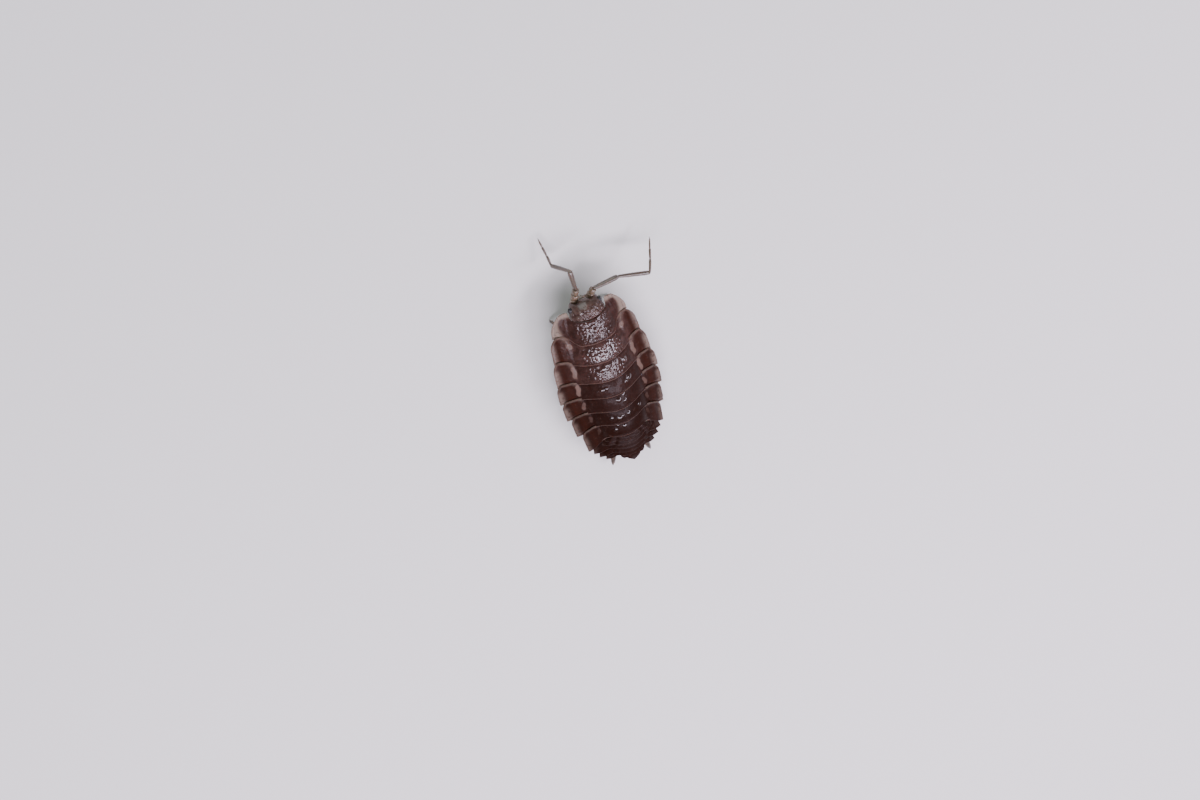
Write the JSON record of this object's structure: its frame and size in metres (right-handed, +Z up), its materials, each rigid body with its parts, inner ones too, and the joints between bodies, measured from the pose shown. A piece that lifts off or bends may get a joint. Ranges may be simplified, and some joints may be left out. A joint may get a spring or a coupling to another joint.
{
  "type": "common shiny woodlouse",
  "caption": "Life-size still model of a common shiny woodlouse at rest: low arched shell plates, head with two jointed feelers, walking legs and a short tapering tail.",
  "frame": {"origin": "on the floor under the middle of the box round the whole animal, with the feelers' and the tail limbs' tips", "axes": "+Z up from the floor; -Y the way the head points, +Y towards the tail; +X towards the animal's left"},
  "size_m": [0.0102, 0.0198, 0.0039],
  "materials": {
    "shell": "wet dark brown shell, clear gloss over a fine grain, paler rear rims",
    "head_shell": "wet dark brown shell with coarse low bumps, semi-gloss",
    "eye": "black beads, glossy",
    "leg": "pale greyish beige with brown marbling, satin",
    "feeler": "grey-brown with pale joints and base, semi-gloss",
    "jaws": "pale horn, satin",
    "gill": "pale translucent plates, satin"
  },
  "bodies": {
    "root": {"head": "head_shell", "eye_left": "eye", "eye_right": "eye", "mouthparts": "jaws", "antenna_left_stalk": "feeler", "antenna_left_whip": "feeler", "antenna_right_stalk": "feeler", "antenna_right_whip": "feeler", "pereonite_1": "shell", "pereonite_2": "shell", "pereonite_3": "shell", "pereonite_4": "shell", "pereonite_5": "shell", "pereonite_6": "shell", "pereonite_7": "shell", "pleonite_1": "shell", "pleonite_2": "shell", "pleonite_3": "shell", "pleonite_4": "shell", "pleonite_5": "shell", "telson": "shell", "pleopods": "gill", "uropod_left_outer": "shell", "uropod_left_inner": "shell", "uropod_right_outer": "shell", "uropod_right_inner": "shell", "leg_left_1": "leg", "leg_left_2": "leg", "leg_left_3": "leg", "leg_left_4": "leg", "leg_left_5": "leg", "leg_left_6": "leg", "leg_left_7": "leg", "leg_right_1": "leg", "leg_right_2": "leg", "leg_right_3": "leg", "leg_right_4": "leg", "leg_right_5": "leg", "leg_right_6": "leg", "leg_right_7": "leg"}
  },
  "joints": []
}
